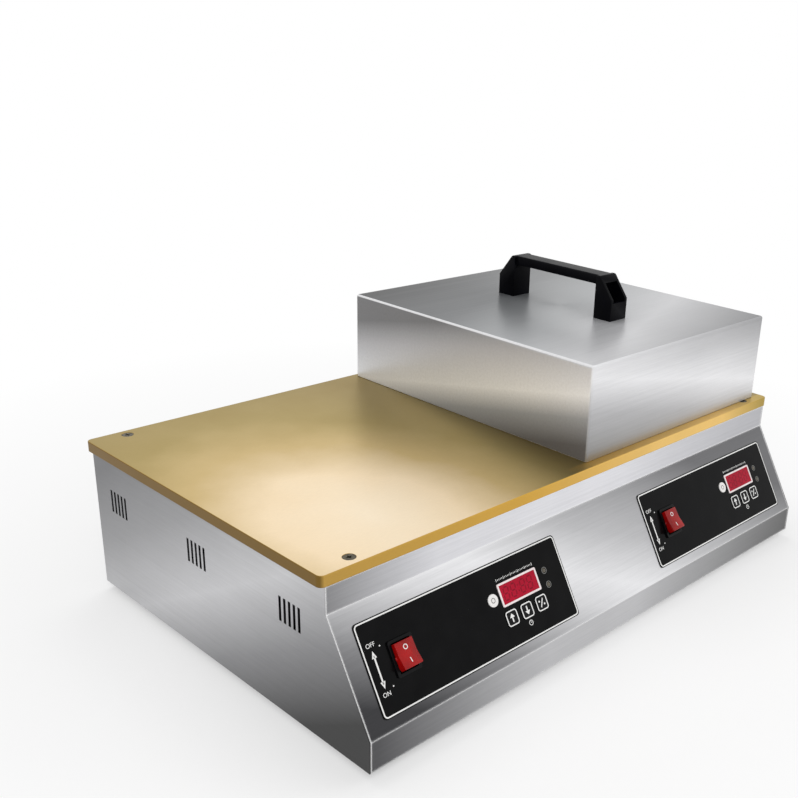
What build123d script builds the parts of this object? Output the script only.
from build123d import *
import os
from math import asin, degrees, hypot

# Countertop souffle pancake maker with a brass plate, two control panels and a lift-off cover.
# Millimetres, +Z up, +X to the operator's right, -Y towards the operator.
# The origin is the centre of the footprint, on the surface that the feet stand on.

# Driving sizes of the housing and the cooking plate
housing_width = 697.0
housing_height = 155.0
sheet_t = 1.2
strip_height = 27.0
slant_run = 57.0
slant_drop = 97.0
flange_width = 22.0
flange_gap = 0.3
plate_overhang_side = 4.5
plate_depth = 396.0
plate_thickness = 11.0
plate_corner_radius = 6.0
plate_edge_radius = 1.0
plate_overhang_front = 1.0
plate_overhang_back = 4.0

# Feet, cable gland and cover under the housing
foot_height = 8.0
foot_top_radius = 14.0
foot_base_radius = 12.0
foot_inset = 40.0
foot_screw_head_radius = 4.5
foot_screw_recess = 4.0
cover_inset = 2.0
gland_reach = 22.0
gland_radius = 12.0
gland_tip_radius = 9.0
gland_bore_radius = 5.0
gland_thread_radius = 10.0
gland_thread_length = 14.0
gland_flange_length = 8.0
locknut_length = 5.0
gland_from_side = 97.0
gland_height = 40.0

# Screws that hold the plate and the bottom cover
plate_screw_radius = 3.0
plate_screw_head_radius = 6.0
plate_screw_head_depth = 3.2
plate_screw_sink = 0.2
plate_screw_inset_x = 40.0
plate_screw_inset_y = 12.5
plate_screw_length = 24.0
nut_height = 5.0
nut_across = 10.0
cover_screw_radius = 2.0
cover_screw_head_radius = 3.6
cover_screw_head_height = 1.8
cover_screw_length = 8.0
cover_screw_inset = 12.0
cover_screw_spread = 0.75
cover_vent_count = 12
cover_vent_length = 60.0
cover_vent_width = 4.0
cover_vent_pitch = 12.0
fit_clearance = 0.3
thread_clearance = 0.05
cross_slot_width = 1.4
cross_slot_depth = 1.6

# Vent slots in the side walls
vent_slot_width = 3.8
vent_slot_height = 25.0
vent_slot_pitch = 6.9
vent_slots_per_group = 5
vent_top_below_plate = 46.0
vent_group_starts = (64.5, 212.5, 359.5)

# Lift-off cover and its bridge handle
lid_right_margin = 16.0
lid_back_margin = 6.0
lid_height = 106.0
lid_sheet = 1.0
lid_bend_radius = 3.0
lid_past_middle = 2.0
lid_front_setback = 12.0
lid_rest_gap = 0.3
handle_length = 180.0
handle_width = 30.0
handle_height = 51.0
handle_leg_depth = 25.0
handle_bar_thickness = 11.0
handle_bar_width = 23.0
handle_shoulder = 25.0
handle_slope_run = 20.0
handle_edge_radius = 2.5
handle_wall = 4.0
handle_floor = 9.0
handle_screw_inset = 14.0
handle_screw_radius = 4.0
handle_screw_head_radius = 6.5
handle_screw_head_height = 8.0
handle_screw_below = 12.0
hex_key_across = 6.0
hex_key_depth = 4.0
washer_radius = 8.5
washer_thickness = 1.6
lid_nut_height = 6.5
lid_nut_across = 13.0

# Control panel labels, measured on the slanted face
border_from_side = 21.5
border_width = 255.0
border_height = 83.7
border_top = 17.5
label_margin = 0.9
label_thickness = 0.8
label_corner_radius = 4.0
rocker_from_left = 39.0
rocker_from_top = 41.0
display_from_left = 190.5
display_from_top = 32.5
display_frame_width = 54.0
display_frame_height = 23.0
display_frame_wall = 2.0
display_frame_proud = 0.8
display_corner_radius = 1.5
display_window_thickness = 2.4
set_from_left = 153.8
set_from_top = 33.2
set_button_radius = 6.2
key_pitch = 21.0
key_from_top = 56.1
key_size = 15.5
key_corner_radius = 3.0
button_proud = 0.7
button_thickness = 2.2
button_stem_radius = 2.4
button_travel = 0.8
lamp_from_left = 229.0
lamp_from_top = (28.5, 43.0)
lamp_radius = 2.4
lamp_proud = 0.5
aperture_from_left = 189.5
aperture_from_top = 42.5
aperture_width = 89.0
aperture_height = 46.0

# Rocker switch
bezel_width = 27.0
bezel_length = 33.0
bezel_thickness = 2.0
bezel_corner_radius = 2.0
switch_width = 23.0
switch_length = 29.6
switch_depth = 24.0
switch_wall = 1.1
switch_cavity_depth = 10.0
rocker_half_length = 12.2
rocker_top_height = 7.0
rocker_dip = 1.3
rocker_belly = 4.0
rocker_swing = 22.0
rocker_pivot_height = 0.5
pivot_pin_radius = 1.5
pivot_pin_reach = 0.8
spade_width = 6.3
spade_thickness = 0.8
spade_length = 8.0
spade_offsets = (-8.0, 0.0, 8.0)

# Timer board behind each panel
board_width = 108.0
board_height = 62.0
board_thickness = 1.6
board_standoff_inset = 5.0
board_depth = 12.0
standoff_radius = 2.5
tact_size = 6.0
board_screw_radius = 1.5
board_screw_head_radius = 2.8
board_screw_head_height = 1.8
chip_size = 14.0
chip_height = 2.5

# Heating parts under the plate, one set for each half
zone_gap = 10.0
element_radius = 4.0
element_side_gap = 8.0
element_runs = 4
element_first_run = 66.0
element_pin_radius = 1.5
element_pin_length = 12.0
clamp_bar_width = 20.0
clamp_bar_thickness = 3.0
clamp_bar_past_run = 18.0
clamp_bar_spread = 80.0
stud_radius = 3.0
stud_into_plate = 7.0
stud_tail = 4.0
insulation_thickness = 25.0
insulation_margin = 6.0
insulation_start = 40.0
shield_rear_gap = 6.0
shield_thickness = 0.8
probe_radius = 3.0
probe_length = 60.0
thermostat_radius = 8.0
thermostat_ear_length = 24.0
thermostat_height = 9.0

# Electrical parts on the bottom cover
relay_width = 40.0
relay_depth = 46.0
relay_height = 34.0
relay_ear = 6.0
relay_edge_radius = 1.5
relay_from_front = 150.0
relay_inset = 25.0
terminal_width = 96.0
terminal_depth = 24.0
terminal_height = 22.0
terminal_from_rear = 38.0
terminal_poles = 6
terminal_screw_radius = 3.0
terminal_screw_sink = 3.0
wire_radius = 2.0
wire_pitch = 10.0
wire_count = 3
earth_stud_radius = 3.0
earth_stud_height = 24.0
earth_stud_offset = 62.0

# Sizes and places worked out from the sizes above
plate_width = housing_width + 2 * plate_overhang_side
overall_depth = slant_run - plate_overhang_front + plate_depth - plate_overhang_back + gland_reach
y_skirt = -overall_depth / 2
y_front = y_skirt + slant_run
y_plate_front = y_front - plate_overhang_front
y_plate_back = y_plate_front + plate_depth
y_rear = y_plate_back - plate_overhang_back
z_base = foot_height + sheet_t
z_plate_bottom = z_base + housing_height
z_plate_top = z_plate_bottom + plate_thickness
z_strip = z_plate_bottom - strip_height
z_skirt = z_strip - slant_drop
half_housing = housing_width / 2
inner_half = half_housing - sheet_t
panel_centre_x = half_housing - border_from_side - border_width / 2
gland_side_x = inner_half - gland_from_side
zone_centre_x = inner_half / 2
zone_width = inner_half - 2 * zone_gap
zone_depth = plate_depth - plate_overhang_back - insulation_start - shield_rear_gap
element_pitch = (plate_depth - 2 * element_first_run) / (element_runs - 1)
element_span = inner_half - 2 * (flange_width + element_side_gap)
element_run_length = element_span - element_pitch - 2 * element_radius
clamp_bar_length = (element_runs - 1) * element_pitch + 2 * clamp_bar_past_run
relay_side_x = zone_centre_x - relay_inset
terminal_from_front = plate_depth - plate_overhang_back - terminal_depth - terminal_from_rear
bottom_up = (Align.CENTER, Align.CENTER, Align.MIN)
top_down = (Align.CENTER, Align.CENTER, Align.MAX)
slant = Plane(origin=(0, y_front, z_strip), x_dir=(1, 0, 0), z_dir=(0, -slant_drop, slant_run))
sides = {"left": -1, "right": 1}


def save(name, shape):
    """Write one piece, or a group of like pieces, to its own file."""
    export_step(shape, f"parts/{name}.step")


def span(x0, x1, y0, y1, z0, z1):
    """A box between two corners."""
    centre = Pos((x0 + x1) / 2, (y0 + y1) / 2, (z0 + z1) / 2)
    return centre * Box(abs(x1 - x0), abs(y1 - y0), abs(z1 - z0))


def post(radius, height):
    """An upright cylinder that stands on z = 0."""
    return Cylinder(radius, height, align=bottom_up)


def group(shapes):
    """Separate solids kept together in one node."""
    return Compound(children=list(shapes))


def on_panel(shape, x, from_top, out=0.0):
    """Move a shape from panel axes (right, up the slope, outwards) to its place on the slanted face."""
    return slant.location * Pos(x, -(border_top + from_top), out) * shape


def side_profile():
    """The outline of the housing seen from the side."""
    points = [
        (y_skirt, z_base),
        (y_skirt, z_skirt),
        (y_front, z_strip),
        (y_front, z_plate_bottom),
        (y_rear, z_plate_bottom),
        (y_rear, z_base),
    ]
    return Plane.YZ * make_face(Polyline(*points, close=True))


def extrude_x(face, x0, x1):
    """Push a face drawn at x = 0 out to the span between two side planes."""
    return Pos(x0, 0, 0) * extrude(face, x1 - x0, dir=(1, 0, 0))


def folded_ring():
    """The sheet that would run all the way round the housing between its side walls."""
    outer = side_profile()
    inner = offset(outer, -sheet_t, kind=Kind.INTERSECTION)
    return extrude_x(outer, -inner_half, inner_half) - extrude_x(inner, -inner_half, inner_half)


def screw_spots():
    """Where the plate is screwed to the flanges, near its four corners."""
    x = plate_width / 2 - plate_screw_inset_x
    return [
        (sx * x, y)
        for sx in sides.values()
        for y in (y_plate_front + plate_screw_inset_y, y_plate_back - plate_screw_inset_y)
    ]


def switch_x(side):
    return sides[side] * panel_centre_x - border_width / 2 + rocker_from_left


def panel_x(side, from_left):
    return sides[side] * panel_centre_x - border_width / 2 + from_left


def key_spots():
    """Name, place from the border's left edge and top edge, of every push button on one panel."""
    return {
        "set": (set_from_left, set_from_top),
        "up": (display_from_left - key_pitch, key_from_top),
        "down": (display_from_left, key_from_top),
        "timer": (display_from_left + key_pitch, key_from_top),
    }


def key_outline(name, grow=0.0):
    """The flat outline of a button cap, grown for the hole that it moves in."""
    if name == "set":
        return Circle(set_button_radius + grow)
    return RectangleRounded(key_size + 2 * grow, key_size + 2 * grow, key_corner_radius + grow)


def board_corner_spots():
    """Board fixing points, seen from the centre of the display opening."""
    x = board_width / 2 - board_standoff_inset
    y = board_height / 2 - board_standoff_inset
    return [(sx * x, sy * y) for sx in (-1, 1) for sy in (-1, 1)]


def aperture_place(side):
    return panel_x(side, aperture_from_left), aperture_from_top


# Front panel, folded from one sheet: flange, upper strip, slanted face, skirt and bottom flange
def front_panel():
    sheet = folded_ring()
    far = y_rear + flange_width
    sheet -= span(-half_housing, half_housing, y_front + flange_width, far, 0, z_plate_top)
    sheet -= span(-half_housing, half_housing, y_skirt + flange_width, far, 0, z_base + 2 * sheet_t)
    for side in sides:
        hole = Box(switch_width + 2 * fit_clearance, switch_length + 2 * fit_clearance, 6 * sheet_t)
        sheet -= on_panel(hole, switch_x(side), rocker_from_top)
        x, from_top = aperture_place(side)
        sheet -= on_panel(Box(aperture_width, aperture_height, 6 * sheet_t), x, from_top)
        for dx, dy in board_corner_spots():
            hole = Cylinder(board_screw_radius, 6 * sheet_t)
            sheet -= on_panel(hole, x + dx, from_top - dy)
    for x, y in plate_screw_holes("front"):
        sheet -= Pos(x, y, z_plate_bottom - 2 * sheet_t) * flange_screw_hole()
    for x, y in cover_screw_spots():
        sheet -= Pos(x, y, 0) * post(cover_screw_radius + thread_clearance, z_base + 3 * sheet_t)
    return sheet


def flange_screw_hole():
    return post(plate_screw_radius + fit_clearance, 4 * sheet_t)


def plate_screw_holes(end):
    middle = (y_plate_front + y_plate_back) / 2
    return [spot for spot in screw_spots() if (spot[1] < middle) == (end == "front")]


def cover_screw_spots():
    """Screws along the front and rear flanges that hold the bottom cover."""
    spread = cover_screw_spread * inner_half
    xs = (-spread, 0.0, spread)
    ys = (y_skirt + cover_screw_inset, y_rear - cover_screw_inset)
    return [(x, y) for x in xs for y in ys]


# Rear panel, folded with a top and a bottom flange
def rear_panel():
    sheet = folded_ring()
    near = y_rear - flange_width
    sheet -= span(-half_housing, half_housing, y_skirt - flange_width, near, 0, z_plate_top)
    gland_hole = Rot(90, 0, 0) * Cylinder(gland_thread_radius + fit_clearance, 4 * sheet_t)
    sheet -= Pos(gland_side_x, y_rear, z_base + gland_height) * gland_hole
    for x, y in plate_screw_holes("rear"):
        sheet -= Pos(x, y, z_plate_bottom - 2 * sheet_t) * flange_screw_hole()
    for x, y in cover_screw_spots():
        sheet -= Pos(x, y, 0) * post(cover_screw_radius + thread_clearance, z_base + 3 * sheet_t)
    return sheet


# Side wall with its three groups of vent slots and an inward top flange
def side_panel(side):
    sign = sides[side]
    x_out = sign * half_housing
    x_in = sign * inner_half
    wall = extrude_x(side_profile(), min(x_out, x_in), max(x_out, x_in))
    flange_end = sign * (inner_half - flange_width)
    y0 = y_front + flange_width + flange_gap
    y1 = y_rear - flange_width - flange_gap
    wall += span(x_in, flange_end, y0, y1, z_plate_bottom - sheet_t, z_plate_bottom)
    slot = Box(4 * sheet_t, vent_slot_width, vent_slot_height, align=top_down)
    z_vent = z_plate_top - vent_top_below_plate
    for start in vent_group_starts:
        for i in range(vent_slots_per_group):
            wall -= Pos(x_out, y_plate_front + start - i * vent_slot_pitch, z_vent) * slot
    return wall


# Flat cover under the housing, with rows of air slots and holes for screws and feet
def bottom_cover():
    x = half_housing - cover_inset
    cover = span(-x, x, y_skirt + cover_inset, y_rear - cover_inset, z_base - sheet_t, z_base)
    for cx, cy in cover_screw_spots():
        cover -= Pos(cx, cy, 0) * post(cover_screw_radius + fit_clearance, z_base + sheet_t)
    for cx, cy in foot_spots():
        cover -= Pos(cx, cy, 0) * post(cover_screw_radius + thread_clearance, z_base + sheet_t)
    for sign in sides.values():
        for i in range(cover_vent_count):
            y = (i - (cover_vent_count - 1) / 2) * cover_vent_pitch
            slot = SlotOverall(cover_vent_length, cover_vent_width)
            cut = Pos(sign * zone_centre_x / 2, y, 0) * extrude(slot, z_base + sheet_t)
            cover -= cut
    return cover


def foot_spots():
    x = half_housing - foot_inset
    return [(sx * x, y) for sx in sides.values() for y in (y_skirt + foot_inset, y_rear - foot_inset)]


def rubber_foot():
    body = Cone(foot_base_radius, foot_top_radius, foot_height, align=bottom_up)
    body -= post(foot_screw_head_radius + fit_clearance, foot_screw_recess)
    body -= post(cover_screw_radius + fit_clearance, foot_height)
    return body


def foot_screw():
    head_z = foot_screw_recess - cover_screw_head_height
    screw = Pos(0, 0, head_z) * post(foot_screw_head_radius, cover_screw_head_height)
    shank = foot_height - foot_screw_recess + 4 * sheet_t
    screw += Pos(0, 0, foot_screw_recess) * post(cover_screw_radius, shank)
    return screw


def cover_screw():
    z = z_base - sheet_t
    screw = Pos(0, 0, z - cover_screw_head_height) * post(cover_screw_head_radius, cover_screw_head_height)
    screw += Pos(0, 0, z) * post(cover_screw_radius, cover_screw_length)
    return screw


# Brass cooking plate: rounded corners, eased edge, countersunk screw holes and tapped stud holes
def griddle_plate():
    outline = RectangleRounded(plate_width, plate_depth, plate_corner_radius)
    y_mid = (y_plate_front + y_plate_back) / 2
    plate = Pos(0, y_mid, z_plate_bottom) * extrude(outline, plate_thickness)
    top_edges = plate.edges().group_by(Axis.Z)[-1]
    plate = fillet(top_edges, plate_edge_radius)
    for x, y in screw_spots():
        plate -= Pos(x, y, z_plate_bottom) * post(plate_screw_radius + fit_clearance, plate_thickness)
        plate -= Pos(x, y, z_plate_top) * countersink(fit_clearance)
    for x, y in stud_spots():
        plate -= Pos(x, y, z_plate_bottom) * post(stud_radius + thread_clearance, stud_into_plate)
    return plate


def countersink(grow):
    """The cone under a flat screw head, with its flat top on z = 0."""
    deep = plate_screw_head_depth + plate_screw_sink
    small = plate_screw_radius + grow
    return Cone(small, plate_screw_head_radius + grow, deep, align=top_down)


def plate_screw():
    """Countersunk cross-head screw, its head a little below the plate's top."""
    deep = plate_screw_head_depth
    head = Cone(plate_screw_radius, plate_screw_head_radius, deep, align=top_down)
    screw = Pos(0, 0, -plate_screw_sink) * head
    neck = -plate_screw_sink - deep
    screw += Pos(0, 0, neck) * Cylinder(plate_screw_radius, plate_screw_length - deep, align=top_down)
    blade = Box(plate_screw_head_radius, cross_slot_width, cross_slot_depth, align=top_down)
    for turn in (0, 90):
        screw -= Pos(0, 0, -plate_screw_sink) * Rot(0, 0, turn) * blade
    return screw


def hex_nut(across, height, bore):
    """Nut that stands on z = 0."""
    prism = extrude(RegularPolygon(across / 2, 6, major_radius=False), height)
    return prism - Cylinder(bore + thread_clearance, 4 * height)


def stud_spots():
    """Studs that pull the clamp bars against the heating elements, midway between the runs."""
    spots = []
    for sign in sides.values():
        for dx in (-clamp_bar_spread, clamp_bar_spread):
            for gap in range(element_runs - 1):
                y = y_plate_front + element_first_run + (gap + 0.5) * element_pitch
                spots.append((sign * zone_centre_x + dx, y))
    return spots


# Sheathed heating element: straight runs joined by half turns, both leads towards the front
def heating_element(side):
    sign = sides[side]
    z = z_plate_bottom - fit_clearance - element_radius
    half = element_run_length / 2
    bend = element_pitch / 2
    y0 = y_plate_front + element_first_run
    cx = sign * zone_centre_x
    pieces = []
    for i in range(element_runs):
        y = y0 + i * element_pitch
        pieces.append(Line((cx - half, y, z), (cx + half, y, z)))
        if i + 1 < element_runs:
            turn = 1 if i % 2 == 0 else -1
            end = cx + turn * half
            apex = (end + turn * bend, y + bend, z)
            pieces.append(ThreePointArc((end, y, z), apex, (end, y + element_pitch, z)))
    path = Wire(edges_in_order(pieces))
    start = path @ 0
    section = Plane(origin=start, z_dir=path % 0) * Circle(element_radius)
    tube = sweep(section, path=path)
    for end in (path @ 0, path @ 1):
        lead = Cylinder(element_pin_radius, element_pin_length + element_radius, align=bottom_up)
        tube += Pos(end.X, end.Y, end.Z) * Rot(0, -90, 0) * lead
    return tube


def edges_in_order(curves):
    return [edge for curve in curves for edge in curve.edges()]


def clamp_bars(side):
    sign = sides[side]
    z = z_plate_bottom - 2 * fit_clearance - 2 * element_radius - clamp_bar_thickness
    y0 = y_plate_front + element_first_run + (element_runs - 1) * element_pitch / 2
    bars = []
    for dx in (-clamp_bar_spread, clamp_bar_spread):
        x = sign * zone_centre_x + dx
        bar = Pos(x, y0, z) * Box(clamp_bar_width, clamp_bar_length, clamp_bar_thickness, align=bottom_up)
        for sx, sy in stud_spots():
            if abs(sx - x) < clamp_bar_width:
                bar -= Pos(sx, sy, z) * post(stud_radius + fit_clearance, clamp_bar_thickness)
        bars.append(bar)
    return bars


z_bar = z_plate_bottom - 2 * fit_clearance - 2 * element_radius - clamp_bar_thickness
z_insulation_top = z_bar - nut_height - fit_clearance
z_insulation = z_insulation_top - insulation_thickness
z_shield = z_insulation - shield_thickness
z_stud_end = z_shield - nut_height - stud_tail


def clamp_stud():
    length = z_plate_bottom + stud_into_plate - z_stud_end
    return Pos(0, 0, z_stud_end) * post(stud_radius, length)


def zone_sheet(side, thickness, z, margin=0.0):
    """A flat layer under one half of the plate, holed for the studs."""
    sign = sides[side]
    y0 = y_plate_front + insulation_start + margin
    width = zone_width - 2 * margin
    depth = zone_depth - 2 * margin
    x = sign * zone_centre_x
    layer = span(x - width / 2, x + width / 2, y0, y0 + depth, z, z + thickness)
    for sx, sy in stud_spots():
        if sx * sign > 0:
            layer -= Pos(sx, sy, z) * post(stud_radius + fit_clearance, thickness)
    return layer


def insulation_blanket(side):
    return zone_sheet(side, insulation_thickness, z_insulation, insulation_margin)


def heat_shield(side):
    return zone_sheet(side, shield_thickness, z_shield)


def temperature_probe(side):
    """Rod sensor held flat against the plate between two runs of the element."""
    x = sides[side] * zone_centre_x
    y = y_plate_front + plate_depth / 2
    z = z_plate_bottom - fit_clearance - probe_radius
    return Pos(x, y, z) * Rot(0, 90, 0) * Cylinder(probe_radius, probe_length)


def limit_thermostat(side):
    """Disc thermostat with its flange flat against the plate."""
    x = sides[side] * zone_centre_x
    y = y_plate_front + element_first_run + 0.5 * element_pitch
    disc = Pos(x, y, z_plate_bottom) * Cylinder(thermostat_radius, thermostat_height, align=top_down)
    ear = Box(thermostat_ear_length, thermostat_radius, sheet_t, align=top_down)
    disc += Pos(x, y, z_plate_bottom) * ear
    return disc


# Control label with openings for the switch, display, buttons and lamps
def control_label(side):
    width = border_width + 2 * label_margin
    height = border_height + 2 * label_margin
    sheet = extrude(RectangleRounded(width, height, label_corner_radius), label_thickness)
    label = on_panel(sheet, sides[side] * panel_centre_x, border_height / 2)
    deep = 4 * label_thickness
    hole = Box(switch_width + 2 * fit_clearance, switch_length + 2 * fit_clearance, deep)
    label -= on_panel(hole, switch_x(side), rocker_from_top)
    window = Box(window_size()[0], window_size()[1], deep)
    label -= on_panel(window, panel_x(side, display_from_left), display_from_top)
    for name, (from_left, from_top) in key_spots().items():
        cut = extrude(key_outline(name, fit_clearance), deep / 2, both=True)
        label -= on_panel(cut, panel_x(side, from_left), from_top)
    for from_top in lamp_from_top:
        cut = Cylinder(lamp_radius + fit_clearance, deep)
        label -= on_panel(cut, panel_x(side, lamp_from_left), from_top)
    return label


def window_size():
    inset = 2 * display_frame_wall
    return display_frame_width - inset, display_frame_height - inset


def display_frame(side):
    """Thin raised frame round the display."""
    outline = RectangleRounded(display_frame_width, display_frame_height, display_corner_radius)
    ring = extrude(outline, display_frame_proud)
    ring -= Box(window_size()[0], window_size()[1], 4 * display_frame_proud)
    return on_panel(ring, panel_x(side, display_from_left), display_from_top, label_thickness)


def display_window(side):
    """Clear red window that fills the label's opening and ends level with the frame's inner step."""
    width, height = window_size()
    gap = thread_clearance
    pane = Box(width - 2 * gap, height - 2 * gap, display_window_thickness, align=top_down)
    out = label_thickness + display_frame_proud / 2
    return on_panel(pane, panel_x(side, display_from_left), display_from_top, out)


def display_module(side):
    """Digit block between the board and the window."""
    width, height = window_size()
    top = label_thickness + display_frame_proud / 2 - display_window_thickness - fit_clearance
    depth = board_depth + top
    block = Box(width - 4 * fit_clearance, height - 4 * fit_clearance, depth, align=top_down)
    return on_panel(block, panel_x(side, display_from_left), display_from_top, top)


def timer_board(side):
    """Circuit board with one push switch under each button and a controller chip on its back."""
    x, from_top = aperture_place(side)
    board = Box(board_width, board_height, board_thickness, align=top_down)
    for dx, dy in board_corner_spots():
        board -= Pos(dx, dy, 0) * Cylinder(board_screw_radius + thread_clearance, 4 * board_thickness)
    board += Pos(0, 0, -board_thickness) * Box(chip_size, chip_size, chip_height, align=top_down)
    tact_height = board_depth - stem_bottom() - button_travel - 2 * thread_clearance
    for from_left, key_top in key_spots().values():
        dx = panel_x(side, from_left) - x
        dy = from_top - key_top
        board += Pos(dx, dy, 0) * Box(tact_size, tact_size, tact_height, align=bottom_up)
    return on_panel(board, x, from_top, -board_depth)


def stem_bottom():
    """Depth of a button stem's end behind the slanted face."""
    return board_depth / 2


def board_standoffs(side):
    x, from_top = aperture_place(side)
    pillars = []
    for dx, dy in board_corner_spots():
        pillar = Cylinder(standoff_radius, board_depth - sheet_t, align=top_down)
        pillar -= Cylinder(board_screw_radius + thread_clearance, 3 * board_depth)
        pillars.append(on_panel(pillar, x + dx, from_top - dy, -sheet_t))
    return pillars


def board_screws(side):
    x, from_top = aperture_place(side)
    screws = []
    for dx, dy in board_corner_spots():
        shank = board_depth + board_thickness - sheet_t
        screw = Cylinder(board_screw_radius, shank, align=bottom_up)
        screw += Cylinder(board_screw_head_radius, board_screw_head_height, align=top_down)
        screws.append(on_panel(screw, x + dx, from_top - dy, -board_depth - board_thickness))
    return screws


def push_button(side, name):
    """Button cap that stands a little proud of the label, with a stem towards the board."""
    from_left, from_top = key_spots()[name]
    top = label_thickness + button_proud
    cap = Pos(0, 0, top - button_thickness) * extrude(key_outline(name), button_thickness)
    stem_length = top - button_thickness + stem_bottom()
    cap += Pos(0, 0, top - button_thickness) * Cylinder(button_stem_radius, stem_length, align=top_down)
    return on_panel(cap, panel_x(side, from_left), from_top)


def indicator_lamps(side):
    """Two small lamps that stand on the board and show through the label."""
    lamps = []
    for from_top in lamp_from_top:
        length = board_depth + label_thickness + lamp_proud
        lamp = Cylinder(lamp_radius, length, align=bottom_up)
        lamp = fillet(lamp.edges().group_by(Axis.Z)[-1], lamp_radius / 2)
        lamps.append(on_panel(lamp, panel_x(side, lamp_from_left), from_top, -board_depth))
    return group(lamps)


# Rocker switch: bezel, body and tabs in one piece, and the red rocker on its pivot pins
pivot_out = label_thickness + bezel_thickness / 2 + rocker_pivot_height


def switch_body(side):
    bezel = RectangleRounded(bezel_width, bezel_length, bezel_corner_radius)
    body = Pos(0, 0, label_thickness) * extrude(bezel, bezel_thickness)
    rear = Box(switch_width, switch_length, switch_depth, align=top_down)
    body += Pos(0, 0, label_thickness) * rear
    cavity = Box(switch_width - 2 * switch_wall, switch_length - 2 * switch_wall,
                 switch_cavity_depth + bezel_thickness + label_thickness, align=top_down)
    body -= Pos(0, 0, label_thickness + bezel_thickness) * cavity
    pin_length = rocker_width() + 2 * pivot_pin_reach
    hole = Rot(0, 90, 0) * Cylinder(pivot_pin_radius + thread_clearance, pin_length)
    body -= Pos(0, 0, pivot_out) * hole
    for dy in spade_offsets:
        tab = Box(spade_width, spade_thickness, spade_length, align=top_down)
        body += Pos(0, dy, label_thickness - switch_depth) * tab
    return on_panel(body, switch_x(side), rocker_from_top)


def rocker_width():
    return switch_width - 2 * switch_wall - 2 * fit_clearance


def rocker(side):
    """Red rocker at rest with its upper end pressed in; its pivot is the local origin."""
    a = rocker_half_length
    points = [
        (-a, rocker_top_height),
        (0, rocker_top_height - rocker_dip),
        (a, rocker_top_height),
        (a, 0),
        (a / 2, -rocker_belly),
        (-a / 2, -rocker_belly),
        (-a, 0),
    ]
    face = Plane.YZ * make_face(Polyline(*points, close=True))
    body = extrude(face, rocker_width() / 2, both=True, dir=(1, 0, 0))
    body = fillet(body.edges().filter_by(Axis.X).group_by(Axis.Z)[-1], 1.0)
    pin_length = rocker_width() + 2 * pivot_pin_reach - thread_clearance
    pin = Rot(0, 90, 0) * Cylinder(pivot_pin_radius, pin_length)
    body += pin
    tilted = Rot(-rocker_swing / 2, 0, 0) * body
    return on_panel(tilted, switch_x(side), rocker_from_top, pivot_out)


# Lift-off cover: an open-bottomed box folded from thin sheet
lid_x0 = lid_past_middle
lid_x1 = plate_width / 2 - lid_right_margin
lid_y0 = y_plate_front + lid_front_setback
lid_y1 = y_plate_back - lid_back_margin
lid_z0 = z_plate_top + lid_rest_gap
lid_z1 = z_plate_top + lid_height
handle_x = (lid_x0 + lid_x1) / 2
handle_y = (lid_y0 + lid_y1) / 2


def handle_screw_spots():
    reach = handle_length / 2 - handle_screw_inset
    return [(handle_x, handle_y - reach), (handle_x, handle_y + reach)]


def lid_shell():
    outer = span(lid_x0, lid_x1, lid_y0, lid_y1, lid_z0, lid_z1)
    outer = fillet(outer.edges().filter_by(Axis.Z), lid_bend_radius)
    outer = fillet(outer.edges().group_by(Axis.Z)[-1], lid_bend_radius)
    s = lid_sheet
    inner = span(lid_x0 + s, lid_x1 - s, lid_y0 + s, lid_y1 - s, lid_z0 - s, lid_z1 - s)
    inner = fillet(inner.edges().filter_by(Axis.Z), lid_bend_radius - s)
    inner = fillet(inner.edges().group_by(Axis.Z)[-1], lid_bend_radius - s)
    shell = outer - inner
    for x, y in handle_screw_spots():
        shell -= Pos(x, y, lid_z1 - 2 * s) * post(handle_screw_radius + fit_clearance, 4 * s)
    return shell


def lid_handle():
    """Bridge handle: two legs with screw pockets in their sloped outer ends, and a bar between them."""
    half = handle_length / 2
    shoulder = handle_shoulder
    top = handle_height
    outline = [
        (-half, 0),
        (-half, shoulder),
        (-half + handle_slope_run, top),
        (half - handle_slope_run, top),
        (half, shoulder),
        (half, 0),
    ]
    side_view = Plane.YZ * make_face(Polyline(*outline, close=True))
    block = extrude(side_view, handle_width / 2, both=True, dir=(1, 0, 0))
    inner = half - handle_leg_depth
    under = top - handle_bar_thickness
    gap = span(-handle_width, handle_width, -inner, inner, -under, under)
    gap = fillet(gap.edges().filter_by(Axis.X).group_by(Axis.Z)[-1], 2 * handle_edge_radius)
    block -= gap
    trim = (handle_width - handle_bar_width) / 2
    for sign in sides.values():
        x0 = sign * handle_bar_width / 2
        block -= span(x0, sign * handle_width, -inner, inner, under - trim, top + trim)
    block = fillet(block.edges().group_by(Axis.Z)[-1], min(handle_edge_radius, trim / 2))
    for sign in sides.values():
        y_outer = sign * (half - handle_wall)
        y_inner = sign * (inner + handle_wall)
        x = handle_width / 2 - handle_wall
        block -= span(-x, x, y_outer, y_inner, handle_floor, shoulder + handle_wall)
        pocket = [
            (y_outer, handle_floor),
            (y_inner, handle_floor),
            (y_inner, top - 2 * handle_wall),
            (y_outer + sign * handle_slope_run, top - 2 * handle_wall),
            (y_outer + sign * handle_slope_run, shoulder - handle_wall),
            (y_outer, shoulder - handle_wall),
        ]
        wedge = Plane.YZ * make_face(Polyline(*pocket, close=True))
        block -= extrude(wedge, x, both=True, dir=(1, 0, 0))
        y_screw = sign * (half - handle_screw_inset)
        block -= Pos(0, y_screw, 0) * post(handle_screw_radius + fit_clearance, handle_floor)
    return Pos(handle_x, handle_y, lid_z1) * block


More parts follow.
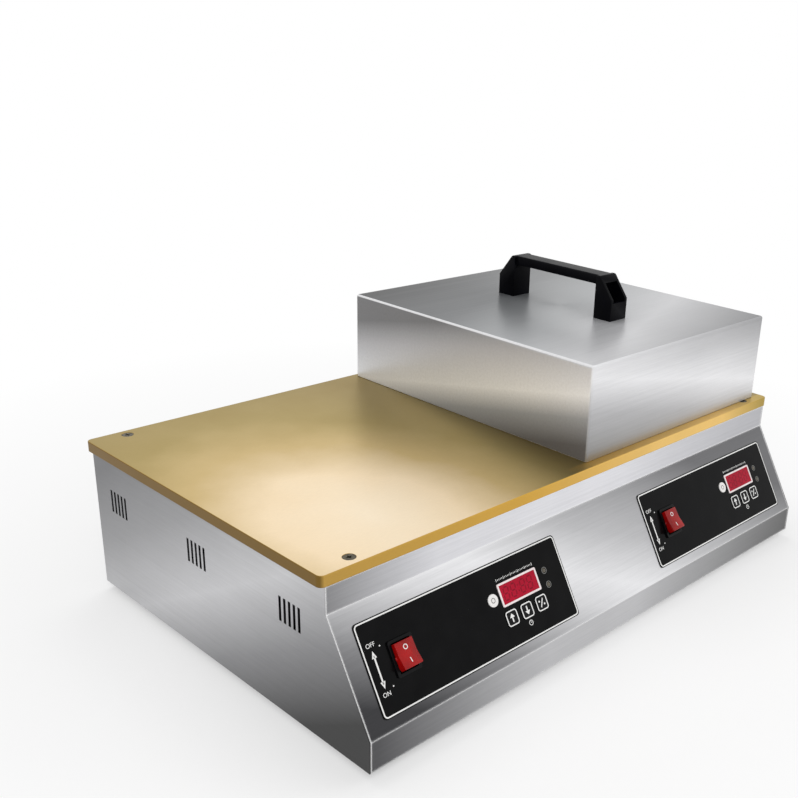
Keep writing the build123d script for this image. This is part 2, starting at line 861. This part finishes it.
def handle_screw():
    """Socket-head screw on the pocket floor, down through the cover's top."""
    screw = Pos(0, 0, handle_floor) * post(handle_screw_head_radius, handle_screw_head_height)
    reach = handle_floor + handle_screw_below
    screw += Pos(0, 0, handle_floor) * Cylinder(handle_screw_radius, reach, align=top_down)
    key = extrude(RegularPolygon(hex_key_across / 2, 6, major_radius=False), hex_key_depth)
    screw -= Pos(0, 0, handle_floor + handle_screw_head_height - hex_key_depth) * key
    return screw


# Parts on the bottom cover
z_floor = z_base


def power_relay(side):
    x = sides[side] * relay_side_x
    y0 = y_plate_front + relay_from_front
    z = z_floor + sheet_t
    half = relay_width / 2
    base = span(x - half - relay_ear, x + half + relay_ear, y0, y0 + relay_depth, z_floor, z)
    case = span(x - half, x + half, y0, y0 + relay_depth, z, z + relay_height)
    case = fillet(case.edges().group_by(Axis.Z)[-1], relay_edge_radius)
    return base + case


def terminal_block():
    y0 = y_plate_front + terminal_from_front
    half = terminal_width / 2
    block = span(-half, half, y0, y0 + terminal_depth, z_floor, z_floor + terminal_height)
    pole = terminal_width / terminal_poles
    for i in range(terminal_poles):
        x = -half + (i + 0.5) * pole
        z = z_floor + terminal_height
        socket = Cylinder(terminal_screw_radius, 2 * terminal_screw_sink)
        block -= Pos(x, y0 + terminal_depth / 2, z) * socket
    return block


def supply_wires(side):
    """Insulated wires from the terminal block forward along the floor to the relay."""
    sign = sides[side]
    y0 = y_plate_front + relay_from_front + relay_depth
    y1 = y_plate_front + terminal_from_front
    z = z_floor + sheet_t + wire_radius + fit_clearance
    step = sign * (terminal_width / 2 - wire_radius - wire_pitch)
    shift = sign * relay_side_x - step
    wires = []
    for i in range(wire_count):
        dx = (i - (wire_count - 1) / 2) * wire_pitch
        run = y1 - y0
        tilt = degrees(asin(shift / hypot(shift, run)))
        length = hypot(shift, run) - 2 * wire_radius
        wire = Rot(0, 0, tilt) * Rot(-90, 0, 0) * Cylinder(wire_radius, length)
        wires.append(Pos(step + shift / 2 + dx, (y0 + y1) / 2, z) * wire)
    return wires


def earth_stud():
    y = y_plate_front + terminal_from_front + terminal_depth / 2
    x = earth_stud_offset
    stud = Pos(x, y, z_floor) * post(earth_stud_radius, earth_stud_height)
    for z in (z_floor, z_floor + nut_height + sheet_t):
        stud += Pos(x, y, z) * extrude(RegularPolygon(nut_across / 2, 6, major_radius=False), nut_height)
    return stud


def cable_gland():
    """Gland in the rear panel: flange hex, dome nut outside and a thread inside."""
    thread = Cylinder(gland_thread_radius, gland_thread_length, align=top_down)
    hexagon = extrude(RegularPolygon(gland_radius, 6, major_radius=False), gland_flange_length)
    dome_length = gland_reach - gland_flange_length
    dome = Cone(gland_radius, gland_tip_radius, dome_length, align=bottom_up)
    dome = Pos(0, 0, gland_flange_length) * dome
    body = thread + hexagon + dome
    body -= Cylinder(gland_bore_radius, 4 * gland_reach)
    return gland_place(body)


def gland_place(shape):
    """Turn a shape drawn along +Z to point out of the rear panel."""
    return Pos(gland_side_x, y_rear, z_base + gland_height) * Rot(-90, 0, 0) * shape


def gland_locknut():
    nut = extrude(RegularPolygon(gland_radius, 6, major_radius=False), -locknut_length)
    nut -= Cylinder(gland_thread_radius + thread_clearance, 4 * locknut_length)
    return gland_place(Pos(0, 0, -sheet_t) * nut)


def main():
    os.makedirs("parts", exist_ok=True)
    save("front_panel", front_panel())
    save("rear_panel", rear_panel())
    save("bottom_cover", bottom_cover())
    save("rubber_feet", group(Pos(x, y, 0) * rubber_foot() for x, y in foot_spots()))
    save("foot_screws", group(Pos(x, y, 0) * foot_screw() for x, y in foot_spots()))
    save("cover_screws", group(Pos(x, y, 0) * cover_screw() for x, y in cover_screw_spots()))
    save("griddle_plate", griddle_plate())
    save("plate_screws", group(Pos(x, y, z_plate_top) * plate_screw() for x, y in screw_spots()))
    nut = hex_nut(nut_across, nut_height, plate_screw_radius)
    z_nut = z_plate_bottom - sheet_t - nut_height
    save("plate_nuts", group(Pos(x, y, z_nut) * nut for x, y in screw_spots()))
    save("clamp_studs", group(Pos(x, y, 0) * clamp_stud() for x, y in stud_spots()))
    bar_nut = hex_nut(nut_across, nut_height, stud_radius)
    save("clamp_nuts", group(Pos(x, y, z_bar - nut_height) * bar_nut for x, y in stud_spots()))
    save("shield_nuts", group(Pos(x, y, z_shield - nut_height) * bar_nut for x, y in stud_spots()))
    save("terminal_block", terminal_block())
    save("earth_stud", earth_stud())
    save("cable_gland", cable_gland())
    save("gland_locknut", gland_locknut())
    save("lid_shell", lid_shell())
    save("lid_handle", lid_handle())
    spots = handle_screw_spots()
    save("lid_handle_screws", group(Pos(x, y, lid_z1) * handle_screw() for x, y in spots))
    washer = post(washer_radius, washer_thickness)
    washer -= post(handle_screw_radius + fit_clearance, washer_thickness)
    z_washer = lid_z1 - lid_sheet - washer_thickness
    save("lid_handle_washers", group(Pos(x, y, z_washer) * washer for x, y in spots))
    lid_nut = hex_nut(lid_nut_across, lid_nut_height, handle_screw_radius)
    save("lid_handle_nuts", group(Pos(x, y, z_washer - lid_nut_height) * lid_nut for x, y in spots))
    for name, make in {
        "element_clamps": clamp_bars,
        "board_standoffs": board_standoffs,
        "board_screws": board_screws,
        "supply_wires": supply_wires,
    }.items():
        save(name, group(solid for side in sides for solid in make(side)))
    for name, make in {
        "insulation_blankets": insulation_blanket,
        "heat_shields": heat_shield,
        "temperature_probes": temperature_probe,
        "limit_thermostats": limit_thermostat,
        "power_relays": power_relay,
    }.items():
        save(name, group(make(side) for side in sides))
    for name, make in {
        "side_panel": side_panel,
        "heating_element": heating_element,
        "control_label": control_label,
        "display_frame": display_frame,
        "display_window": display_window,
        "display_module": display_module,
        "timer_board": timer_board,
        "indicator_lamps": indicator_lamps,
        "switch_body": switch_body,
        "rocker": rocker,
    }.items():
        for side in sides:
            save(f"{side}_{name}", make(side))
    for side in sides:
        for name in key_spots():
            save(f"{side}_{name}_button", push_button(side, name))


main()
